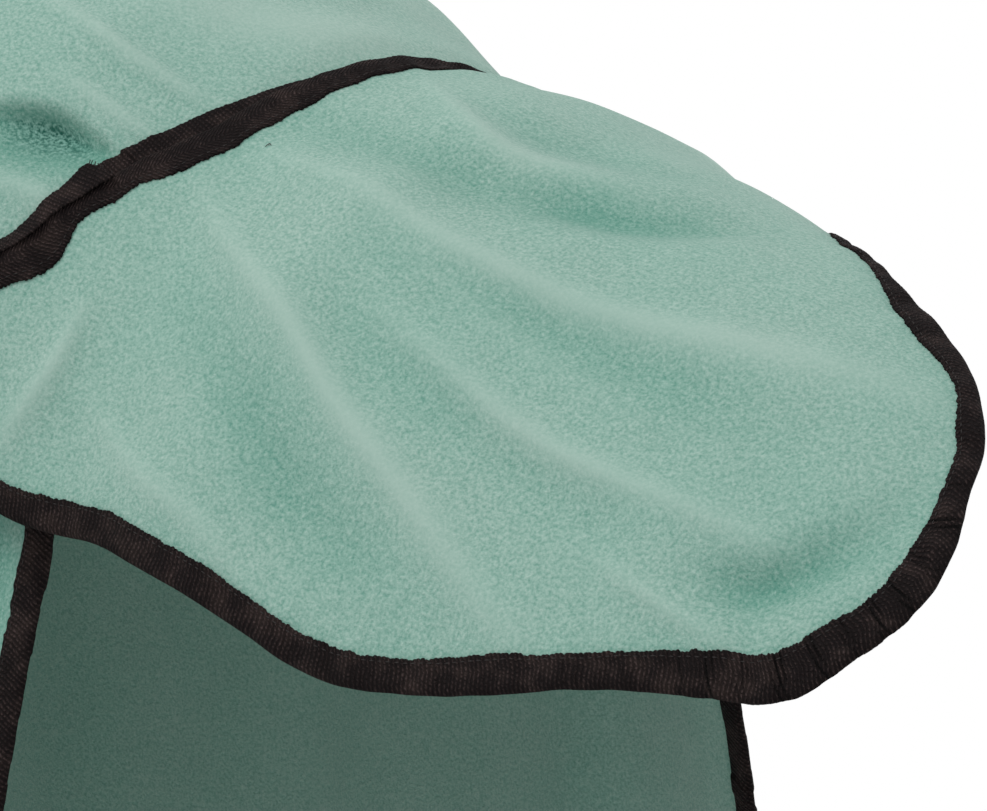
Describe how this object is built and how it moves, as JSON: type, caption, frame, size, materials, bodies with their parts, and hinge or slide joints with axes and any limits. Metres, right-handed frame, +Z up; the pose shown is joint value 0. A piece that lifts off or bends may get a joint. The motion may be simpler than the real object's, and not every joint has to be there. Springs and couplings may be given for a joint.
{
  "type": "horse rug with tail flap",
  "caption": "Fleece rug shaped as worn on a horse, open at neck and rear, with a taped tail flap sewn over the croup and a strap with a buckle across the chest.",
  "frame": {"origin": "on the inner face at the top of the rug, at the middle of the back where the horse carries it", "axes": "+X toward the tail, +Y toward the horse's right (far) side, +Z up"},
  "size_m": [2.0316, 0.5867, 0.9118],
  "materials": {
    "fleece": "mint green short-nap fleece",
    "webbing": "black ribbed webbing tape",
    "plastic": "black moulded plastic"
  },
  "bodies": {
    "root": {"body": "fleece", "tail_flap": "fleece", "body_binding": "webbing", "flap_binding": "webbing", "seam_tape_long": "webbing", "seam_tape_short": "webbing", "chest_strap_near": "webbing", "chest_strap_far": "webbing", "buckle_near": "plastic", "buckle_far": "plastic"}
  },
  "joints": []
}
